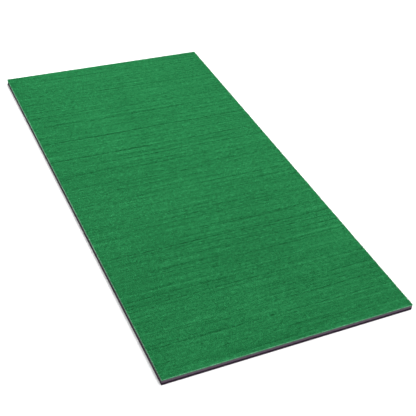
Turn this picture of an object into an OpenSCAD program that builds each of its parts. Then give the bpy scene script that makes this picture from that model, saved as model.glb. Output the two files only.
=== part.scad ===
// Golf hitting mat: tufted nylon turf on a closed-cell foam pad and a heavy rubber base.
// The layers are laminated face to face, then the stack is cut through, so every edge is flush.
// Millimetres. +Z is up, the origin is the middle of the underside, and Y runs along the mat.

/* [Mat] */
// Width of the mat, across the rows of tufts
mat_w = 762; // [300:1:1500]
// Length of the mat, along the line of play
mat_l = 1524; // [300:1:3000]

/* [Base and cushion] */
// Thickness of the heavy rubber base that grips the floor
base_t = 8.8; // [3:0.1:20]
// Thickness of the adhesive film between the base and the foam
base_film_t = 0.3; // [0.1:0.05:1]
// Thickness of the closed-cell foam pad
foam_t = 5.4; // [2:0.1:20]
// Thickness of the adhesive film between the foam and the turf
turf_film_t = 0.3; // [0.1:0.05:1]

/* [Turf] */
// Thickness of the open-weave secondary backing
scrim_t = 0.8; // [0.3:0.05:2]
// Thickness of the latex that locks the tufts
latex_t = 0.9; // [0.3:0.05:3]
// Thickness of the woven primary backing that the yarn is stitched through
weave_t = 0.5; // [0.2:0.05:2]
// Height of the nylon pile above the primary backing
pile_h = 4.0; // [2:0.1:25]

/* [Hidden] */

// Height of each layer's underside above the floor: each layer starts where the one below it ends
base_film_z = base_t;
foam_z = base_film_z + base_film_t;
turf_film_z = foam_z + foam_t;
scrim_z = turf_film_z + turf_film_t;
latex_z = scrim_z + scrim_t;
weave_z = latex_z + latex_t;
pile_z = weave_z + weave_t;

// One layer of the laminate: a sheet of the mat's full size, thickness t, with its underside at z
module layer(z, t) {
    translate([-mat_w / 2, -mat_l / 2, z])
        cube([mat_w, mat_l, t]);
}

// Dense rubber slab. Its weight keeps the mat still under a swing.
module rubber_base() {
    color("#302432")
        layer(0, base_t);
}

// Film of cured adhesive that holds the foam to the base
module base_adhesive() {
    color("#3b313c")
        layer(base_film_z, base_film_t);
}

// Closed-cell foam that takes the shock of the club
module foam_pad() {
    color("#645867")
        layer(foam_z, foam_t);
}

// Film of cured adhesive that holds the turf to the foam
module turf_adhesive() {
    color("#6b626c")
        layer(turf_film_z, turf_film_t);
}

// Open-weave scrim pressed into the latex, which keeps the turf from stretching
module secondary_backing() {
    color("#70686f")
        layer(scrim_z, scrim_t);
}

// Latex that locks the root of every tuft
module latex_precoat() {
    color("#7a727a")
        layer(latex_z, latex_t);
}

// Woven cloth that the nylon yarn is tufted through
module primary_backing() {
    color("#5f7a66")
        layer(weave_z, weave_t);
}

// The standing nylon yarn, as the solid that its dense short pile fills
module nylon_pile() {
    color("#29804b")
        layer(pile_z, pile_h);
}

rubber_base();
base_adhesive();
foam_pad();
turf_adhesive();
secondary_backing();
latex_precoat();
primary_backing();
nylon_pile();
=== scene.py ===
# %% [markdown]
# # A golf hitting mat
#
# A hitting mat is a flat sandwich. Nylon turf lies on a foam pad, and the pad lies on a heavy rubber
# base. The layers are glued face to face and the stack is then cut through with a blade, so all its
# edges are flush and the layers show as stripes round the side.
#
# The model's sizes are settled elsewhere, in a fixed frame that this file only loads. What is made
# here is what a plain block can't show: the standing yarn, the lines where the pile parts, the cut
# sides of each layer, and the finishes.

# %% Load the fixed frame
import math

import bpy
import numpy as np
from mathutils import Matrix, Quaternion, Vector


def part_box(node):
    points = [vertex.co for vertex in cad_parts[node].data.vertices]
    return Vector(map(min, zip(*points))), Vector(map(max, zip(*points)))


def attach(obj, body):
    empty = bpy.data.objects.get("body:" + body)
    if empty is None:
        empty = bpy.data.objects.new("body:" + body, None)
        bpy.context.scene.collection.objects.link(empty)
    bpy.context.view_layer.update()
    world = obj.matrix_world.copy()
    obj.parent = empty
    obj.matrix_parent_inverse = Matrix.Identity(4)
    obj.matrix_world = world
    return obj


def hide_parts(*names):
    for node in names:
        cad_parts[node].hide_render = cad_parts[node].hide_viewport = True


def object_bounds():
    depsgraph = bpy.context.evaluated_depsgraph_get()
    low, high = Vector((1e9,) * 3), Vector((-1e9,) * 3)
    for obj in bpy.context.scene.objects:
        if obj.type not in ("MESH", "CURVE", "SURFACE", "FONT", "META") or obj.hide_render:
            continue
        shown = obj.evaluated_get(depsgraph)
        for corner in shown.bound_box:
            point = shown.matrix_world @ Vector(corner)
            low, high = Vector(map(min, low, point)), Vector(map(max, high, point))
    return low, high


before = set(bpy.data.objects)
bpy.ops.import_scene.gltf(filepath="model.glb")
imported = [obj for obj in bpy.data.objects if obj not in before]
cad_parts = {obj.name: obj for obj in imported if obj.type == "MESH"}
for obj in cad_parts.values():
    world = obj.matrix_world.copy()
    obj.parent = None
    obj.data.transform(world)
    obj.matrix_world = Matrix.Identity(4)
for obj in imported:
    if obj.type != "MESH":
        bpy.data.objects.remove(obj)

frame_low, frame_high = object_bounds()
low, high = np.array(frame_low), np.array(frame_high)
mat_width, mat_length = (high - low)[:2]
MM = 0.001
print("the mat is", (1000 * (high - low)).round(1), "mm")

# %% [markdown]
# ## The camera
#
# The camera comes first, because every choice of detail below depends on how close it stands. It
# looks down on the mat from beyond its near left corner, through a short telephoto lens, and is held
# slightly turned, so the near edge climbs to the right.
#
# It is placed by the point that it looks at, the direction it looks from and its distance. A turned
# camera is its level turn followed by a turn about its own line of sight.

# %% Place the camera
AIM_FROM_MIDDLE = Vector((12.4 * MM, -178.5 * MM, 0.0))
VIEW_AZIMUTH = math.radians(-28.12)
VIEW_ELEVATION = math.radians(38.54)
VIEW_DISTANCE = 2.6526
VIEW_ROLL = math.radians(5.71)
LENS_MM = 73.46
SENSOR_MM = 36.0

top_middle = Vector(((low[0] + high[0]) / 2, (low[1] + high[1]) / 2, high[2]))
towards_camera = Vector((
    math.sin(VIEW_AZIMUTH) * math.cos(VIEW_ELEVATION),
    -math.cos(VIEW_AZIMUTH) * math.cos(VIEW_ELEVATION),
    math.sin(VIEW_ELEVATION),
))
camera = bpy.data.objects.new("camera", bpy.data.cameras.new("camera"))
camera.data.lens = LENS_MM
camera.data.sensor_width = SENSOR_MM
camera.location = top_middle + AIM_FROM_MIDDLE + VIEW_DISTANCE * towards_camera
camera.rotation_mode = "QUATERNION"
camera.rotation_quaternion = (
    towards_camera.to_track_quat("Z", "Y") @ Quaternion((0, 0, 1), VIEW_ROLL)
)
bpy.context.scene.collection.objects.link(camera)
bpy.context.scene.camera = camera
print("the camera is at", [round(x, 3) for x in camera.location])

# %% [markdown]
# ## Two small helpers
#
# Every piece below is worked out as whole numpy arrays: its points, the point at each corner of each
# face, and how many corners each face has. One helper turns such arrays into a piece of the mat at
# the origin, puts it on the root body and hides the block of the frame that it stands for.
#
# A number per point, such as how dark the yarn is there, goes in as an attribute that the material
# can read by name.

# %% Make a piece from arrays
def make_piece(name, stands_for, points, corners, sizes, numbers=None, flat=None, rounded=None):
    """
    A mesh piece at the origin.

    points is n by 3 in metres, corners the point at each corner of each face in turn, and sizes how
    many corners each face has. numbers holds one value per point for each name, and flat is the
    place of every corner on the piece's own flat map. Only the first faces, rounded of them, are
    shaded as a curved surface; without it all are.
    """
    mesh = bpy.data.meshes.new(name)
    mesh.vertices.add(len(points))
    mesh.vertices.foreach_set("co", np.asarray(points, np.float32).ravel())
    mesh.loops.add(len(corners))
    mesh.loops.foreach_set("vertex_index", np.asarray(corners, np.int32))
    mesh.polygons.add(len(sizes))
    mesh.polygons.foreach_set("loop_start", (np.cumsum(sizes) - sizes).astype(np.int32))
    for key, values in (numbers or {}).items():
        attribute = mesh.attributes.new(key, "FLOAT", "POINT")
        attribute.data.foreach_set("value", np.asarray(values, np.float32))
    if flat is not None:
        mesh.uv_layers.new(name="OFBake").uv.foreach_set("vector", flat.astype(np.float32).ravel())
    mesh.update(calc_edges=True)
    mesh.validate()
    mesh.polygons.foreach_set("use_smooth", np.arange(len(mesh.polygons)) < (rounded or len(sizes)))
    piece = bpy.data.objects.new(name, mesh)
    bpy.context.scene.collection.objects.link(piece)
    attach(piece, "root")
    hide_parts(stands_for)
    triangles = int((np.asarray(sizes) - 2).sum())
    print(f"{name}: {len(points)} points, {triangles} triangles")
    return piece


# %% [markdown]
# Turf is regular from afar and irregular close by. Its irregular side is made with one kind of noise:
# random numbers on the knots of a lattice, blended between knots. Long steps across the mat and short
# ones along it give marks that run along the rows, as the real ones do.

# %% Noise on a lattice
def lattice(x, y, step_x, step_y, seed):
    """
    Noise with mean 0 and a spread of about 1.

    A normal random number sits on every knot of a lattice with these steps, which goes on past the
    mat by a knot or more on every side. Between knots the value is the blend of the four around it,
    with weights t * t * (3 - 2 * t) for the share t of the way.
    """
    across = np.clip((x - low[0]) / step_x + 1, 0, mat_width / step_x + 2)
    along = np.clip((y - low[1]) / step_y + 1, 0, mat_length / step_y + 2)
    shape = (int(mat_width / step_x) + 5, int(mat_length / step_y) + 5)
    knots = np.random.default_rng(seed).standard_normal(shape)
    i, j = across.astype(int), along.astype(int)
    s, t = across - i, along - j
    s, t = s * s * (3 - 2 * s), t * t * (3 - 2 * t)
    near = knots[i, j] * (1 - s) + knots[i + 1, j] * s
    far = knots[i, j + 1] * (1 - s) + knots[i + 1, j + 1] * s
    return near * (1 - t) + far * t


# %% [markdown]
# ## Where the pile parts
#
# The yarn is stitched row by row across the mat. Faint dark lines cross it at even steps, and they
# are taken for the places where one block of needles meets the next and the pile opens a little. A
# block is assumed to be ten rows 5.08 mm apart, so the lines come every 50.8 mm. Between those, wear
# and rolling open the pile along shorter stretches, at random.
#
# A parting is drawn as a slightly wavy line. Across it the opening falls off as a bell curve, and
# along it the depth fades in and out. The yarn beside it leans away. Its lip on one side gets a
# painted highlight, and the opening gets painted shade on top of its real depth. The yarn, the bed
# under it and the colour all ask the same function, so that they agree.

# %% Lay out the partings
ROW_PITCH = 5.08 * MM
BLOCK_PITCH = 10 * ROW_PITCH
SHORT_PARTINGS = 130

chance = np.random.default_rng(20)
block_lines = np.arange(low[1] + BLOCK_PITCH, high[1] - BLOCK_PITCH / 2, BLOCK_PITCH)
block_count = len(block_lines)
short_lines = chance.uniform(low[1] + 8 * MM, high[1] - 8 * MM, SHORT_PARTINGS)
parting_y = np.concatenate([block_lines + chance.normal(0, 0.5 * MM, block_count), short_lines])
parting_x = np.concatenate([
    chance.uniform(-0.2, 0.2, block_count) * mat_width,
    chance.uniform(low[0], high[0], SHORT_PARTINGS),
])
parting_reach = np.concatenate([
    chance.uniform(0.5, 0.9, block_count) * mat_width,
    chance.uniform(60 * MM, 420 * MM, SHORT_PARTINGS),
])
parting_depth = np.concatenate([
    chance.uniform(0.45, 1.0, block_count),
    chance.uniform(0.2, 0.8, SHORT_PARTINGS),
])
parting_phase = chance.uniform(0, 2 * np.pi, block_count + SHORT_PARTINGS)
# which side of each parting's lip gets the painted highlight
parting_highlight_side = np.where(chance.uniform(0, 1, block_count + SHORT_PARTINGS) < 0.7, -1.0, 1.0)
print(block_count, "block lines and", SHORT_PARTINGS, "shorter partings")

# %% Ask how far the pile is open
GAP = 1.15 * MM
LIP_AT = 2.2
NOTHING_LEFT_AT = 6
FADE = 60 * MM
LONG_WAVE, SHORT_WAVE, DEPTH_WAVE = 330 * MM, 87 * MM, 53 * MM
LONG_SWAY, SHORT_SWAY = 0.9 * MM, 0.45 * MM


def parted(x, y):
    """
    How open the pile is at each point, how much painted highlight its lip gets there, and the lean along
    Y.

    For each parting, with d the distance from its line in units of GAP and w its depth there: the
    opening is w * exp(-d * d), the lip's painted highlight w * exp(-(d - side * LIP_AT) ** 2 / 2),
    and the lean w * d * exp(-d * d / 4), which points away from the line on both sides. The line sways
    along two waves, and w swells and shrinks along a third, between 0.4 and 1 times the parting's depth.
    """
    opening, lip_highlight, lean = np.zeros(len(x)), np.zeros(len(x)), np.zeros(len(x))
    for line, middle, reach, depth, phase, side in zip(
        parting_y, parting_x, parting_reach, parting_depth, parting_phase, parting_highlight_side
    ):
        wave = LONG_SWAY * np.sin(2 * np.pi * x / LONG_WAVE + phase)
        wave += SHORT_SWAY * np.sin(2 * np.pi * x / SHORT_WAVE + 3 * phase)
        d = (y - line - wave) / GAP
        near = np.abs(d) < NOTHING_LEFT_AT
        fade = np.clip((reach - np.abs(x - middle)) / FADE, 0, 1)
        w = depth * fade * (0.7 + 0.3 * np.sin(2 * np.pi * x / DEPTH_WAVE + 7 * phase)) * near
        opening += w * np.exp(-d * d)
        # the lip's painted highlight
        lip_highlight += w * np.exp(-((d - side * LIP_AT) ** 2) / 2)
        lean += w * d * np.exp(-d * d / 4)
    return opening, lip_highlight, lean


# %% [markdown]
# ## The colour of each spot of turf
#
# Dyed yarn comes off the cone in one green, yet no two tufts reflect alike: each stands at its own
# angle, and each row pulls a little tighter or looser than the next. So the turf gets one number per
# point, its tone, with 1 as the average. It is the sum of a grain that is as fine as the tufts,
# streaks along single rows and along pairs of rows, soft bands across the mat, patches as wide as a
# hand, and the partings, with painted shade in their openings and a painted highlight on their
# lips.
#
# A tuft or a row that stands proud shades the ones beside it, so each light streak gets painted
# shade, a darker streak on each side. The noise for them therefore takes off half of what stands a
# little way to either side.

# %% Work out the tone
GRAIN, STREAK, BROAD_STREAK, PATCH = 0.17, 0.052, 0.046, 0.028
# painted shade in the partings' openings and painted highlight on their lips, as shares of tone
OPENING_PAINTED_SHADE, LIP_PAINTED_HIGHLIGHT = 0.8, 0.25
ONE_ROW, TWO_ROWS = ROW_PITCH, 2 * ROW_PITCH
GRAIN_STEP, PATCH_STEP = 2.4 * MM, 120 * MM
SHORT_STREAK, LONG_STREAK = 110 * MM, 330 * MM
SHORT_BROAD_STREAK, LONG_BROAD_STREAK = 90 * MM, 240 * MM
BAND_LENGTH, BAND_WIDTH = 260 * MM, 22 * MM


def streak_with_painted_shade(x, y, step_x, width, seed):
    """
    Lattice noise n with knots half of width apart along Y, less the mean of n at 1.25 width both
    ways, which is painted shade beside each light streak.

    The division by 1.22, the square root of 1 + 2 * 0.5 ** 2, keeps its spread at about 1.
    """
    n, up, down = (
        lattice(x, y + shift * 1.25 * width, step_x, width / 2, seed) for shift in (0, 1, -1)
    )
    # the halves taken off are painted shade beside the streak
    return (n - (up + down) / 2) / 1.22


def tone_at(x, y):
    """
    The turf's tone, about 1.

    1 plus the grain, plus streaks one row wide in two lengths and streaks two rows wide in two
    lengths, each with painted shade beside it, plus bands, plus patches, less painted shade in the
    openings of the partings, plus a painted highlight on their lips. The last number of each noise is
    its seed.
    """
    opening, lip_highlight, _ = parted(x, y)
    return (
        1
        + GRAIN * lattice(x, y, GRAIN_STEP, GRAIN_STEP, 1)
        + STREAK * streak_with_painted_shade(x, y, SHORT_STREAK, ONE_ROW, 3)
        + STREAK * streak_with_painted_shade(x, y, LONG_STREAK, ONE_ROW, 7)
        + BROAD_STREAK * streak_with_painted_shade(x, y, SHORT_BROAD_STREAK, TWO_ROWS, 8)
        + BROAD_STREAK * streak_with_painted_shade(x, y, LONG_BROAD_STREAK, TWO_ROWS, 9)
        + PATCH * lattice(x, y, BAND_LENGTH, BAND_WIDTH, 10)
        + PATCH * lattice(x, y, PATCH_STEP, PATCH_STEP, 4)
        # painted shade in the partings' openings, then painted highlight on their lips
        - OPENING_PAINTED_SHADE * opening
        + LIP_PAINTED_HIGHLIGHT * lip_highlight
    )


# %% [markdown]
# ## The bed of the pile
#
# Under the tips the yarn stands so close that no light gets through. Modelling each strand down to
# its root would be wasted, so the lower pile is one closed slab whose top is a fine grid. The grid
# rises and falls a little with the tufts and drops into the partings, which gives the lines a true
# depth. The grid is five times finer along the mat than across it, because the partings run across.

# %% Make the bed
pile_low, pile_high = (np.array(corner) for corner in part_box("nylon_pile"))
BED_SHARE = 0.7
BED_INSET = 0.5 * MM
PARTING_DROP = 1.6 * MM
BED_STEP_X, BED_STEP_Y = 8 * MM, 1.6 * MM
RIPPLE, RIPPLE_LENGTH = 0.2 * MM, 6 * MM
MAP_TOP_TO, MAP_WALL_FROM, MAP_WALL_TO = 0.94, 0.95, 0.97
MAP_UNDER_FROM, MAP_UNDER_SHARE = 0.98, 0.02

pile_height = pile_high[2] - pile_low[2]
bed_level = pile_low[2] + BED_SHARE * pile_height


def bed_height(x, y):
    """The bed's height: level, plus RIPPLE times tuft noise, less the drop into the partings."""
    ripple = RIPPLE * lattice(x, y, RIPPLE_LENGTH, ROW_PITCH / 2, 5)
    return bed_level + ripple - PARTING_DROP * np.clip(parted(x, y)[0], 0, 1)


def grid_slab(x_lines, y_lines, height, bottom):
    """
    A closed slab over a grid: its points, its corners, its faces' sizes, its flat map and how many of
    its faces are the top.

    The top is a grid of quads. Its border points are repeated at the height bottom, quads join the two
    borders, and one large face closes the underside. On the flat map the top fills nearly all of the
    square, the walls are a strip above it and the underside is a second strip.
    """
    x, y = (g.ravel() for g in np.meshgrid(x_lines, y_lines))
    top = np.column_stack([x, y, height(x, y)])
    number = np.arange(len(x)).reshape(len(y_lines), len(x_lines))
    quads = np.stack(
        [number[:-1, :-1], number[:-1, 1:], number[1:, 1:], number[1:, :-1]], -1
    ).reshape(-1, 4)
    border = np.concatenate([
        number[0, :-1], number[:-1, -1], number[-1, :0:-1], number[:0:-1, 0],
    ])
    foot = top[border].copy()
    foot[:, 2] = bottom
    under = len(top) + np.arange(len(border))
    walls = np.stack([under, np.roll(under, -1), np.roll(border, -1), border], 1)
    points = np.concatenate([top, foot])
    corners = np.concatenate([quads.ravel(), walls.ravel(), under[::-1]])
    sizes = np.concatenate([np.full(len(quads) + len(walls), 4), [len(under)]])

    corner = points[:, :2].min(0)
    share = (points[:, :2] - corner) / (points[:, :2].max(0) - corner)
    round_it = np.arange(len(border))[:, None] + [0, 1, 1, 0]
    level = np.tile([MAP_WALL_FROM, MAP_WALL_FROM, MAP_WALL_TO, MAP_WALL_TO], len(border))
    flat = np.concatenate([
        share[quads.ravel()] * [1.0, MAP_TOP_TO],
        np.column_stack([round_it.ravel() / len(border), level]),
        share[under[::-1]] * [1.0, MAP_UNDER_SHARE] + [0.0, MAP_UNDER_FROM],
    ])
    return points, corners, sizes, flat, len(quads)


x_from, x_to = low[0] + BED_INSET, high[0] - BED_INSET
y_from, y_to = low[1] + BED_INSET, high[1] - BED_INSET
bed_points, bed_corners, bed_sizes, bed_flat, bed_top = grid_slab(
    np.linspace(x_from, x_to, round((x_to - x_from) / BED_STEP_X) + 1),
    np.linspace(y_from, y_to, round((y_to - y_from) / BED_STEP_Y) + 1),
    bed_height, pile_low[2],
)
pile_bed = make_piece(
    "pile_bed", "nylon_pile", bed_points, bed_corners, bed_sizes, rounded=bed_top,
    numbers={"tone": tone_at(bed_points[:, 0], bed_points[:, 1])}, flat=bed_flat,
)

# %% [markdown]
# ## The standing yarn
#
# Turf for hitting mats is tufted from crimped nylon, so its strands don't stand like lawn grass: each
# comes up, bends over and ends beside its neighbour. A particle system could grow them, but its
# strands have no faces of their own to carry into another program. Real strands are taken to be finer
# than half a millimetre and over a million in number. Here they are about a millimetre wide, at least
# twice that, and far fewer.
#
# A strand is a closed spindle with one bend: a point at its foot, a triangle at its bend and a point
# at its tip, which is five points and six triangles. All the strands of a piece are made at once, as
# arrays with one row per strand.

# %% Build many strands at once
STRAND_CORNERS = np.array([2, 1, 0, 3, 2, 0, 1, 3, 0, 1, 2, 4, 2, 3, 4, 3, 1, 4])
STRAND_POINTS, STRAND_FACES = 5, 6
STRAND_REACH = [0.0, 0.7, 0.8, 0.7, 1.0]      # how far out each point is: foot, three of the bend, tip


def strand_map(count):
    """
    A place for every corner on a flat map, with a square cell for each strand.

    The left of the cell holds the three faces at the foot, as a triangle with the foot in its middle,
    and the right holds the three at the tip in the same way.
    """
    ring = np.array([[0.04, 0.06], [0.25, 0.94], [0.46, 0.06]])
    foot_side = np.concatenate([ring.mean(0)[None], ring])[STRAND_CORNERS[:9]]
    tip_side = np.concatenate([ring, ring.mean(0)[None]])[STRAND_CORNERS[9:] - 1] + [0.5, 0.0]
    corner = np.concatenate([foot_side, tip_side])
    side = math.ceil(math.sqrt(count))
    cell = np.stack([np.arange(count) % side, np.arange(count) // side], 1)
    return ((cell[:, None] + corner[None]) / side).reshape(-1, 2)


def make_strands(name, stands_for, foot, bend, tip, ridge, half_width, tone):
    """
    A piece of closed strands, one per row of foot, bend and tip.

    ridge is the way each strand's back faces. With across = (tip - foot) x ridge, made a unit vector,
    the triangle at the bend is -across * half_width, ridge * half_width * 0.5, across * half_width,
    which goes round anticlockwise seen from the tip.
    """
    count = len(foot)
    across = np.cross(tip - foot, ridge)
    across /= np.linalg.norm(across, axis=1)[:, None]
    section = np.stack([-across, 0.5 * ridge, across], 1) * half_width[:, None, None]
    points = np.concatenate([foot[:, None], bend[:, None] + section, tip[:, None]], 1)
    corners = (STRAND_CORNERS[None] + STRAND_POINTS * np.arange(count)[:, None]).ravel()
    numbers = {"tone": np.repeat(tone, STRAND_POINTS), "reach": np.tile(STRAND_REACH, count)}
    return make_piece(
        name, stands_for, points.reshape(-1, 3), corners, np.full(STRAND_FACES * count, 3),
        numbers=numbers, flat=strand_map(count),
    )


# %% [markdown]
# The strands stand on a fine grid, and each is shifted at random inside its own square, so that no
# pattern shows. Each comes up out of the bed, bends over and runs on another way, as crimped yarn
# does. On average they lie a little with the nap of their patch, and away from any parting beside
# them. The field is cut into long strips, because one piece with all of it would be too heavy to
# carry into other programs.

# %% Plant the field
STRIPS = 10
STRANDS_ACROSS = 40
STRAND_PITCH_Y = ROW_PITCH / 2.1
STRAND_HALF_WIDTH = 0.55 * MM
EDGE_MARGIN = 0.5 * MM
REACH_OUT = 1.6 * MM
RISE_RUN, LIE_RUN = 1.6 * MM, 4.2 * MM
TURN_SPREAD = 0.8
NAP_LEAN, NAP_PATCH = 0.25, 160 * MM
PARTING_LEAN = 1.2
FOOT_DEPTH = 0.3 * MM
BEND_AT, TIP_AT = (0.62, 1.0), (0.25, 0.95)      # shares of the way from the bed to the top
PARTING_SINKS_BEND, PARTING_SINKS_TIP = 0.4, 0.5
STRAND_TONE_SPREAD = 0.22

rows = round(mat_length / STRAND_PITCH_Y)
pitch_x, pitch_y = mat_width / (STRIPS * STRANDS_ACROSS), mat_length / rows
planting = np.random.default_rng(31)
strips = []
for strip in range(STRIPS):
    columns = np.arange(STRANDS_ACROSS) + strip * STRANDS_ACROSS
    column, row = (g.ravel() for g in np.meshgrid(columns, np.arange(rows)))
    count = len(column)
    x = low[0] + (column + planting.uniform(0, 1, count)) * pitch_x
    y = low[1] + (row + planting.uniform(0, 1, count)) * pitch_y
    x = np.clip(x, low[0] + EDGE_MARGIN, high[0] - EDGE_MARGIN)
    y = np.clip(y, low[1] + EDGE_MARGIN, high[1] - EDGE_MARGIN)
    opening, _, lean = parted(x, y)
    opening = np.clip(opening, 0, 1)

    nap = 2 * np.pi * lattice(x, y, NAP_PATCH, NAP_PATCH, 6) / 3
    way = planting.uniform(0, 2 * np.pi, count)
    turn = way + planting.normal(0, TURN_SPREAD, count)
    push_x = NAP_LEAN * np.cos(nap)
    push_y = NAP_LEAN * np.sin(nap) + PARTING_LEAN * np.clip(lean, -1, 1)
    rise = RISE_RUN * planting.uniform(0.7, 1.3, count)
    lie = LIE_RUN * planting.uniform(0.6, 1.3, count)

    half_width = STRAND_HALF_WIDTH * planting.uniform(0.75, 1.25, count)
    bed_z = bed_height(x, y)
    roof = high[2] - half_width / 2
    bend_room = (roof - bed_z) * (1 - PARTING_SINKS_BEND * opening)
    tip_room = (high[2] - bed_z) * (1 - PARTING_SINKS_TIP * opening)
    bend_z = bed_z + bend_room * planting.uniform(*BEND_AT, count)
    tip_z = bed_z + tip_room * planting.uniform(*TIP_AT, count)
    foot = np.column_stack([x, y, bed_z - FOOT_DEPTH])
    bend = np.column_stack([
        x + rise * (np.cos(way) + push_x),
        y + rise * (np.sin(way) + push_y),
        bend_z,
    ])
    tip = np.column_stack([
        bend[:, 0] + lie * (np.cos(turn) + push_x),
        bend[:, 1] + lie * (np.sin(turn) + push_y),
        tip_z,
    ])
    for point in (bend, tip):
        point[:, 0] = np.clip(point[:, 0], low[0] - REACH_OUT, high[0] + REACH_OUT)
        point[:, 1] = np.clip(point[:, 1], low[1] - REACH_OUT, high[1] + REACH_OUT)
    tone = tone_at(x, y) * (1 + planting.normal(0, STRAND_TONE_SPREAD, count))
    strips.append(make_strands(
        f"nylon_yarn_{strip + 1:02d}", "nylon_pile", foot, bend, tip,
        np.tile([0.0, 0.0, 1.0], (count, 1)), half_width, tone,
    ))
print(STRIPS * count, "strands in", STRIPS, "strips")

# %% [markdown]
# Round the sides the blade has cut through the tufts, so strands stand upright in the cut face, down
# to the backing, splaying out a little where nothing holds them any more. The cut is paler than the
# top, partly as if the inside of the yarn took less dye and partly as painted light, for the cut ends
# catch light from above. The front and back edges follow a row and stay tight; the left and right
# edges cut across the rows and splay further, and their ends get extra painted light, which keeps
# them bright on the shaded left side.
# They are the same strands again, in a line round the mat, and the nap lays all of them a little
# towards +Y.
#
# A walk round the outline is worked out once, because each layer's side needs it too: for a distance
# along the outline it gives the point there, the way out of the mat and the way on along the side.

# %% Walk round the outline
outline_length = 2 * (mat_width + mat_length)


def on_outline(distance):
    """
    The point at each distance round the outline, anticlockwise from the near left corner, and two
    unit vectors there: out of the mat, and on along the side. All lie in the plane.
    """
    lengths = [mat_width, mat_length, mat_width, mat_length]
    ends = np.cumsum(lengths)
    side = np.minimum(np.searchsorted(ends, distance, side="right"), 3)
    along = distance - (ends - lengths)[side]
    start = np.array([[low[0], low[1]], [high[0], low[1]], [high[0], high[1]], [low[0], high[1]]])
    heading = np.array([[1.0, 0.0], [0.0, 1.0], [-1.0, 0.0], [0.0, -1.0]])
    outward = np.array([[0.0, -1.0], [1.0, 0.0], [0.0, 1.0], [-1.0, 0.0]])
    return start[side] + along[:, None] * heading[side], outward[side], heading[side]


# %% Stand the cut yarn in the sides
CUT_PITCH, CUT_HALF_WIDTH = 0.4 * MM, 0.55 * MM
CUT_SWAY = 0.35 * MM
FOOT_IN_MM, SIDE_FOOT_IN_MM = 0.4, 2.8      # how far in a foot may stand, and what the sides add
BEND_OUT, TIP_OUT = (0.1 * MM, 0.6 * MM), (0.2 * MM, 1.1 * MM)
# painted light added to the tone of the cut ends on the left and right sides
SIDE_SPLAY, SIDE_PAINTED_LIGHT = 1.6, 0.5
ROOT_GAP = 0.05 * MM
CUT_BEND_AT, CUT_TIP_BELOW = (0.45, 0.85), 0.5 * MM
RIDGE_LEAN = 0.7
CUT_TONE_SPREAD = 0.18
NAP_LAY, BEND_LAY_SHARE = np.array([0.0, 1.2 * MM]), 0.4

cut_count = round(outline_length / CUT_PITCH)
cutting = np.random.default_rng(32)
place, outward, heading = on_outline((np.arange(cut_count) + 0.5) * outline_length / cut_count)
sway = cutting.normal(0, CUT_SWAY, (2, cut_count))
across_rows = np.abs(outward[:, 0])      # 1 on the left and right, 0 at the front and back
foot_out = -cutting.uniform(0, 1, cut_count) * (FOOT_IN_MM + SIDE_FOOT_IN_MM * across_rows) * MM
bend_out = foot_out / 2 + cutting.uniform(*BEND_OUT, cut_count)
tip_out = foot_out / 2 + (1 + SIDE_SPLAY * across_rows) * cutting.uniform(*TIP_OUT, cut_count)
flat_foot = place + foot_out[:, None] * outward
flat_bend = place + bend_out[:, None] * outward + sway[0][:, None] * heading + BEND_LAY_SHARE * NAP_LAY
flat_tip = place + tip_out[:, None] * outward + (sway[0] + sway[1])[:, None] * heading + NAP_LAY
cut_yarn = make_strands(
    "cut_yarn", "nylon_pile",
    np.column_stack([flat_foot, np.full(cut_count, pile_low[2] + ROOT_GAP)]),
    np.column_stack([flat_bend, pile_low[2] + cutting.uniform(*CUT_BEND_AT, cut_count) * pile_height]),
    np.column_stack([flat_tip, high[2] - cutting.uniform(0.0, CUT_TIP_BELOW, cut_count)]),
    np.column_stack([RIDGE_LEAN * outward, np.full(cut_count, RIDGE_LEAN)]),
    CUT_HALF_WIDTH * cutting.uniform(0.7, 1.2, cut_count),
    tone_at(place[:, 0], place[:, 1]) + SIDE_PAINTED_LIGHT * across_rows
    + cutting.normal(0, CUT_TONE_SPREAD, cut_count),
)

# %% [markdown]
# ## The cut side of a layer
#
# A layer under the pile is hidden except for its side, and there each material shows how it takes a
# blade. Rubber cuts clean and keeps a soft lower edge. Foam is drawn in a little between the layers
# that hold it. Cloth and latex leave a slightly ragged line.
#
# So a layer is a profile carried round the outline. The profile is a short list of heights, as shares
# of the layer's thickness, each with how far the side stands in there. Smooth noise along the
# outline moves it in and out, and the layer is closed above and below by one face each.

# %% Carry a profile round the outline
SIDE_ROWS = 8
MAP_SIDE_SHARE = 0.4
MAP_UNDERSIDE_AT, MAP_TOP_AT, MAP_FACE_HEIGHT = 0.42, 0.71, 0.56
HAIR = 1e-6


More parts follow.
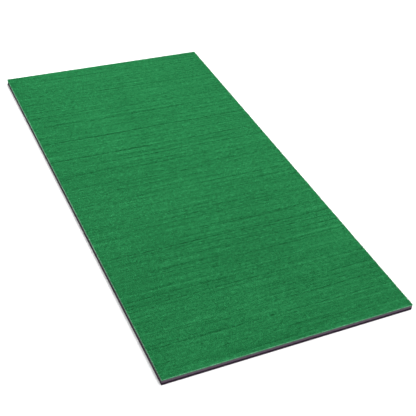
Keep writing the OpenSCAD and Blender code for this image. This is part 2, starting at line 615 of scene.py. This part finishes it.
def make_layer(name, profile, step, waver, seed):
    """
    A layer of the mat whose side is a profile carried round the outline.

    profile lists (height as a share of the thickness, inset in metres) from bottom to top. A ring of
    points every step metres follows each, moved in by waver times the size of noise. Corner points
    are moved in along both of their sides. On the flat map the side winds through SIDE_ROWS rows at
    the bottom, with the underside above them and the top above that.
    """
    box_low, box_high = (np.array(corner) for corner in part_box(name))
    per_side = [round(mat_width / step), round(mat_length / step)] * 2
    begins = np.cumsum([0, mat_width, mat_length, mat_width])
    lengths = [mat_width, mat_length, mat_width, mat_length]
    distance = np.concatenate([
        begin + length * np.arange(n) / n for begin, length, n in zip(begins, lengths, per_side)
    ])
    place, outward, _ = on_outline(distance)
    corner_at = np.cumsum([0] + per_side[:3])
    _, before, _ = on_outline((distance[corner_at] - HAIR) % outline_length)
    outward[corner_at] += before
    ring = len(distance)
    noise = np.random.default_rng(seed)
    heights, insets = np.array(profile).T
    wander = noise.standard_normal((len(profile), ring))
    wander = (wander + np.roll(wander, 1, 1) + np.roll(wander, -1, 1)) / 3
    shift = -insets[:, None] - waver * np.abs(wander)
    flat = place[None] + shift[:, :, None] * outward[None]
    z = box_low[2] + heights * (box_high[2] - box_low[2])
    points = np.concatenate([flat, np.broadcast_to(z[:, None, None], (len(profile), ring, 1))], 2)
    number = np.arange(len(profile) * ring).reshape(len(profile), ring)
    following = np.roll(number, -1, 1)
    walls = np.stack([number[:-1], following[:-1], following[1:], number[1:]], -1).reshape(-1, 4)
    corners = np.concatenate([walls.ravel(), number[0, ::-1], number[-1]])
    sizes = np.concatenate([np.full(len(walls), 4), [ring, ring]])

    row_height = MAP_SIDE_SHARE / SIDE_ROWS
    turn = np.concatenate([distance, [outline_length]]) / outline_length * SIDE_ROWS
    left, right = turn[:-1], turn[1:]
    row = np.floor((left + right) / 2)
    level = np.linspace(0.1, 0.9, len(profile))
    wall_u = np.stack([left - row, right - row, right - row, left - row], 1).clip(0, 1)
    wall_v = (row[None, :] + level[:, None]) * row_height
    side_map = np.stack([
        np.broadcast_to(wall_u, (len(profile) - 1, ring, 4)),
        np.stack([wall_v[:-1], wall_v[:-1], wall_v[1:], wall_v[1:]], 2),
    ], -1).reshape(-1, 2)
    spread = (place - low[:2]) / mat_length
    under, over = (
        np.stack([0.01 + 0.98 * spread[:, 1], start + MAP_FACE_HEIGHT * spread[:, 0]], 1)
        for start in (MAP_UNDERSIDE_AT, MAP_TOP_AT)
    )
    flat_map = np.concatenate([side_map, under[::-1], over])
    return make_piece(
        name + "_cut", name, points.reshape(-1, 3), corners, sizes, flat=flat_map, rounded=len(walls)
    )


# %% Cut the layers
rubber = make_layer(
    "rubber_base", [(0.0, 0.35 * MM), (0.03, 0.12 * MM), (0.07, 0.0), (0.55, 0.0), (1.0, 0.0)],
    step=8 * MM, waver=0.07 * MM, seed=41,
)
lower_glue = make_layer(
    "base_adhesive", [(0.0, 0.25 * MM), (0.5, 0.1 * MM), (1.0, 0.25 * MM)],
    step=12 * MM, waver=0.25 * MM, seed=42,
)
foam = make_layer(
    "foam_pad", [(0.0, 0.0), (0.12, 0.2 * MM), (0.5, 0.4 * MM), (0.88, 0.2 * MM), (1.0, 0.0)],
    step=7 * MM, waver=0.14 * MM, seed=43,
)
upper_glue = make_layer(
    "turf_adhesive", [(0.0, 0.2 * MM), (0.5, 0.1 * MM), (1.0, 0.2 * MM)],
    step=12 * MM, waver=0.25 * MM, seed=44,
)
scrim = make_layer(
    "secondary_backing", [(0.0, 0.1 * MM), (0.5, 0.0), (1.0, 0.1 * MM)],
    step=8 * MM, waver=0.3 * MM, seed=45,
)
latex = make_layer(
    "latex_precoat", [(0.0, 0.1 * MM), (0.5, 0.0), (1.0, 0.1 * MM)],
    step=8 * MM, waver=0.2 * MM, seed=46,
)
cloth = make_layer(
    "primary_backing", [(0.0, 0.1 * MM), (0.5, 0.0), (1.0, 0.1 * MM)],
    step=8 * MM, waver=0.2 * MM, seed=47,
)

# %% [markdown]
# Woven cloth frays where it is cut. The ends of its flat tapes stick out of the side by a fraction
# of a millimetre, bent up or down, and soften the line between the turf and the foam. They are
# strands as well, growing outwards.

# %% Fray the backing cloth
END_PITCH, END_HALF_WIDTH = 2.1 * MM, 0.3 * MM
END_INSIDE, END_OUT = 0.4 * MM, (0.1 * MM, 0.7 * MM)
END_SLIP, END_BEND_RISE, END_TIP_RISE = 0.3 * MM, 0.08 * MM, 0.3 * MM
END_TONE_SPREAD = 0.1
END_SHARE_TO_BEND, END_SHARE_TO_TIP = 0.6, 0.4

end_count = round(outline_length / END_PITCH)
fraying = np.random.default_rng(33)
place, outward, heading = on_outline((np.arange(end_count) + 0.5) * outline_length / end_count)
cloth_low, cloth_high = (np.array(corner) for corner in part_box("primary_backing"))
out_by = fraying.uniform(*END_OUT, end_count)
slip = fraying.normal(0, END_SLIP, end_count)
middle_z = (cloth_low[2] + cloth_high[2]) / 2
end_foot = np.column_stack([place - END_INSIDE * outward, np.full(end_count, middle_z)])
end_bend = end_foot + np.column_stack([
    (END_INSIDE + END_SHARE_TO_BEND * out_by)[:, None] * outward,
    fraying.normal(0, END_BEND_RISE, end_count),
])
end_tip = end_bend + np.column_stack([
    (END_SHARE_TO_TIP * out_by)[:, None] * outward + slip[:, None] * heading,
    fraying.normal(0, END_TIP_RISE, end_count),
])
tape_ends = make_strands(
    "backing_tape_ends", "primary_backing", end_foot, end_bend, end_tip,
    np.column_stack([np.zeros((end_count, 2)), np.ones(end_count)]),
    np.full(end_count, END_HALF_WIDTH), 1 + fraying.normal(0, END_TONE_SPREAD, end_count),
)

# %% [markdown]

# %% [markdown]
# ## Finishes
#
# Each finish starts from the real material. Colours are written as they look on a screen and are
# turned to linear light by one function, because that is what a shader adds up. One more helper adds
# a node with its settings, its fixed values and its links.

# %% Colours and nodes
def linear(hex_colour):
    """
    Linear light from a screen colour such as "#2a804b".

    Each channel c, from 0 to 1, becomes c / 12.92 up to 0.04045 and ((c + 0.055) / 1.055) ** 2.4
    above that.
    """
    c = np.array([int(hex_colour[i:i + 2], 16) / 255 for i in (1, 3, 5)])
    light = np.where(c <= 0.04045, c / 12.92, ((c + 0.055) / 1.055) ** 2.4)
    return (*light.tolist(), 1.0)


def add(material, kind, values=None, links=None, **settings):
    """Adds a node: settings are its own properties, values its inputs' numbers, links their sources."""
    tree = material.node_tree
    made = tree.nodes.new("ShaderNode" + kind)
    for name, value in settings.items():
        setattr(made, name, value)
    for name, value in (values or {}).items():
        made.inputs[name].default_value = value
    for name, source in (links or {}).items():
        tree.links.new(source, made.inputs[name])
    return made


def start_finish(name, **values):
    """A new material with its Principled shader, whose constant values are set on its own sockets."""
    material = bpy.data.materials.new(name)
    material.use_nodes = True
    shader = material.node_tree.nodes["Principled BSDF"]
    for key, value in values.items():
        shader.inputs[key.replace("_", " ")].default_value = value
    return material, shader


def wear(piece, material):
    """The piece wears this material alone."""
    piece.data.materials.clear()
    piece.data.materials.append(material)


# %% [markdown]
# ### Crimped nylon yarn
#
# Dyed nylon, extruded as fine ribbons and crimped in steam. It is matt with only a faint sheen. Its
# colour is darkened towards the root as painted shade, for little light reaches down there, and is
# full at the bent tip. The tone of each strand lightens or darkens it. Nylon's index of refraction is
# 1.53, and the crimp makes it rough.
#
# The bed has no reach of its own, which reads as 0, so all of it gets the painted root shade of a
# foot. It stands for yarn packed too close to model, so a fibre pattern is drawn on it, with painted
# shade in its dents and painted light on its rises. Real fibres are far finer than the pattern, which
# is this coarse so that it shows.

# %% Finish the yarn
YARN_DARK, YARN_MEAN, YARN_LIGHT = "#034220", "#278c50", "#48bd75"
# the cut ends are paler partly for a paler core and partly as painted light caught from above
END_DARK, END_MEAN, END_LIGHT = "#34694a", "#6ab88b", "#92dcb0"
TAPE_DARK, TAPE_MEAN, TAPE_LIGHT = "#46594b", "#5f7a66", "#7b9782"
TONE_OF_DARK, TONE_OF_LIGHT = 0.2, 1.8
NYLON_IOR = 1.53
FIBRE_MM = 2.2


def yarn_finish(name, colours, root_share_under_painted_shade, fibre_dent=0.0):
    """
    Yarn that goes through three colours, from TONE_OF_DARK by tone 1 to TONE_OF_LIGHT.

    Painted shade keeps the given root share of its colour at the foot and all of it at the tip. With
    fibre_dent, curled fibres are drawn on it as twisted noise that dents it by that distance, with
    painted shade in the dents and painted light on the rises.
    """
    material, shader = start_finish(name, Roughness=0.75, IOR=NYLON_IOR, Specular_IOR_Level=0.08)
    tone = add(material, "Attribute", attribute_name="tone")
    share = add(
        material, "MapRange", values={"From Min": TONE_OF_DARK, "From Max": TONE_OF_LIGHT},
        links={"Value": tone.outputs["Fac"]},
    )
    dye = add(material, "ValToRGB", links={"Fac": share.outputs["Result"]})
    dye.color_ramp.elements[0].color = linear(colours[0])
    dye.color_ramp.elements[1].color = linear(colours[2])
    dye.color_ramp.elements.new(0.5).color = linear(colours[1])
    # painted shade: the colour is scaled down towards the foot, where reach is 0
    reach = add(material, "Attribute", attribute_name="reach")
    depth = add(
        material, "MapRange", values={"To Min": root_share_under_painted_shade, "To Max": 1.0},
        links={"Value": reach.outputs["Fac"]},
    )
    shade = add(
        material, "VectorMath", operation="SCALE",
        links={"Vector": dye.outputs["Color"], "Scale": depth.outputs["Result"]},
    )
    if fibre_dent:
        fibres = add(
            material, "TexNoise",
            values={"Scale": 1000 / FIBRE_MM, "Detail": 2.0, "Distortion": 2.5},
            links={"Vector": add(material, "TexCoord").outputs["Object"]},
        )
        # painted shade in the fibre dents and painted light on their rises
        lit = add(
            material, "MapRange",
            values={"From Min": 0.35, "From Max": 0.65, "To Min": 0.55, "To Max": 1.25},
            links={"Value": fibres.outputs["Fac"]},
        )
        shade = add(
            material, "VectorMath", operation="SCALE",
            links={"Vector": shade.outputs["Vector"], "Scale": lit.outputs["Result"]},
        )
        dent = add(
            material, "Bump", values={"Strength": 0.9, "Distance": fibre_dent},
            links={"Height": fibres.outputs["Fac"]},
        )
        material.node_tree.links.new(dent.outputs["Normal"], shader.inputs["Normal"])
    material.node_tree.links.new(shade.outputs["Vector"], shader.inputs["Base Color"])
    return material


# the number after the colours is the share of colour that painted root shade leaves at the foot
green = (YARN_DARK, YARN_MEAN, YARN_LIGHT)
yarn = yarn_finish("crimped_nylon_yarn", green, 0.65)
packed_yarn = yarn_finish("packed_nylon_yarn", green, 0.8, fibre_dent=1.5 * MM)
cut_ends = yarn_finish("cut_ends_of_nylon_yarn", (END_DARK, END_MEAN, END_LIGHT), 0.8)
for piece in strips:
    wear(piece, yarn)
wear(pile_bed, packed_yarn)
wear(cut_yarn, cut_ends)


# %% [markdown]
# ### The layers under the turf
#
# Black rubber slab, pressed from rubber crumb: nearly black with a warm, faintly purple cast, dull,
# with crumbs of 2 mm just visible. Polyethylene foam, cut with a knife: a dull purple-grey, with the
# opened cells as fine pits. Such cells are about 0.5 mm, and they are drawn at 1.5 mm to show at all.
# Latex filled with chalk: pale, dry and blotchy. Polypropylene cloth: flat tapes over and under.
# Cured glue: a thin, glossier film.

# %% Finish a layer
def layer_finish(name, dark, light, grain_mm, rough, dent_mm, ior, kind):
    """
    A material with two colours blended by a pattern of the given grain, dented by the same pattern.

    kind is "cells" for Voronoi cells, whose middles are light and rims dark, or "blotches" for noise.
    """
    material, shader = start_finish(name, Roughness=rough, IOR=ior, Specular_IOR_Level=0.08)
    place = add(material, "TexCoord").outputs["Object"]
    scale = 1000 / grain_mm
    if kind == "cells":
        pattern = add(material, "TexVoronoi", values={"Scale": scale}, links={"Vector": place})
        amount = pattern.outputs["Distance"]
    else:
        pattern = add(
            material, "TexNoise", values={"Scale": scale, "Detail": 3.0}, links={"Vector": place}
        )
        amount = pattern.outputs["Fac"]
    blend = add(material, "ValToRGB", links={"Fac": amount})
    blend.color_ramp.elements[0].color = linear(light if kind == "cells" else dark)
    blend.color_ramp.elements[1].color = linear(dark if kind == "cells" else light)
    dent = add(
        material, "Bump", values={"Strength": 0.6, "Distance": dent_mm * MM}, links={"Height": amount}
    )
    material.node_tree.links.new(blend.outputs["Color"], shader.inputs["Base Color"])
    material.node_tree.links.new(dent.outputs["Normal"], shader.inputs["Normal"])
    return material


# name, dark colour, light colour, grain in mm, roughness, dent in mm, index of refraction, pattern
wear(rubber, layer_finish("pressed_crumb_rubber", "#170d18", "#2f1d30", 2.0, 0.75, 0.1, 1.52, "blotches"))
wear(foam, layer_finish("knife_cut_polyethylene_foam", "#4a3f4a", "#635765", 1.5, 0.9, 0.3, 1.5, "cells"))
wear(latex, layer_finish("filled_latex", "#595059", "#6c636c", 3.0, 0.85, 0.1, 1.5, "blotches"))
wear(lower_glue, layer_finish("cured_glue_dark", "#201620", "#2c202d", 4.0, 0.4, 0.05, 1.49, "blotches"))
wear(upper_glue, layer_finish("cured_glue_grey", "#4a434b", "#5d555e", 4.0, 0.4, 0.05, 1.49, "blotches"))
wear(cloth, layer_finish("woven_polypropylene_tape", "#465c4d", "#5f7a66", 1.05, 0.5, 0.1, 1.49, "cells"))
wear(scrim, layer_finish("leno_scrim", "#4f474f", "#665d66", 2.0, 0.8, 0.2, 1.49, "cells"))
tapes = yarn_finish("polypropylene_tape_ends", (TAPE_DARK, TAPE_MEAN, TAPE_LIGHT), 1.0)
wear(tape_ends, tapes)

# %% [markdown]
# ## The stage and its light
#
# The mat lies on a plain white floor that runs out of view. Most of the light is a white sky, which
# gives the mat more light than it shows to the camera. It is brightest overhead, a little towards the
# front and the right, and fades to nothing at right angles to that. A broad soft sun from the same
# side lights the right and near sides, and the left side stands in its own thin shadow. A lamp over
# the far end makes the turf brightest there, and a second one hangs over the right of the middle.

# %% Lay the floor
FLOOR_HALF = 40.0
FLOOR_COLOUR = "#f6f6f6"
floor_mesh = bpy.data.meshes.new("floor")
floor_z = float(low[2])
floor_mesh.from_pydata(
    [(-FLOOR_HALF, -FLOOR_HALF, floor_z), (FLOOR_HALF, -FLOOR_HALF, floor_z),
     (FLOOR_HALF, FLOOR_HALF, floor_z), (-FLOOR_HALF, FLOOR_HALF, floor_z)],
    [], [(0, 1, 2, 3)],
)
floor = bpy.data.objects.new("floor", floor_mesh)
bpy.context.scene.collection.objects.link(floor)
paper, paper_shader = start_finish("white_studio_paper", Roughness=0.9, Specular_IOR_Level=0.2)
paper_shader.inputs["Base Color"].default_value = linear(FLOOR_COLOUR)
wear(floor, paper)

# %% Light it
SKY_SEEN, SKY_FILL = 1.0, 1.6
SKY_FROM = Vector((0.16, -0.3, 0.94)).normalized()
SUN_FROM = Vector((0.17, -0.17, 0.97))
SUN_POWER, SUN_WIDTH = 1.3, math.radians(20)
LAMP_SIZE = 0.5
LAMPS = (      # name, place in metres, power in watts
    ("far_lamp", (-0.08, 0.62, 0.85), 3.6),
    ("near_lamp", (0.26, -0.1, 0.95), 2.2),
)

sky = bpy.data.worlds.new("white_sky")
bpy.context.scene.world = sky
sky.use_nodes = True
background = sky.node_tree.nodes["Background"]
background.inputs["Color"].default_value = (1.0, 1.0, 1.0, 1.0)
facing = add(
    sky, "VectorMath", operation="DOT_PRODUCT",
    links={"Vector": add(sky, "TexCoord").outputs["Generated"]},
)
facing.inputs[1].default_value = SKY_FROM
lit = add(sky, "MapRange", values={"To Max": SKY_FILL}, links={"Value": facing.outputs["Value"]})
strength = add(
    sky, "MapRange", values={"To Max": SKY_SEEN},
    links={"Value": add(sky, "LightPath").outputs["Is Camera Ray"], "To Min": lit.outputs["Result"]},
)
sky.node_tree.links.new(strength.outputs["Result"], background.inputs["Strength"])

sun = bpy.data.objects.new("soft_sun", bpy.data.lights.new("soft_sun", "SUN"))
sun.data.energy = SUN_POWER
sun.data.angle = SUN_WIDTH
sun.rotation_mode = "QUATERNION"
sun.rotation_quaternion = SUN_FROM.to_track_quat("Z", "Y")
bpy.context.scene.collection.objects.link(sun)

for name, place, power in LAMPS:
    lamp = bpy.data.objects.new(name, bpy.data.lights.new(name, "AREA"))
    lamp.data.shape = "DISK"
    lamp.data.size = LAMP_SIZE
    lamp.data.energy = power
    lamp.location = Vector(place)
    bpy.context.scene.collection.objects.link(lamp)
bpy.context.scene.view_settings.view_transform = "Standard"
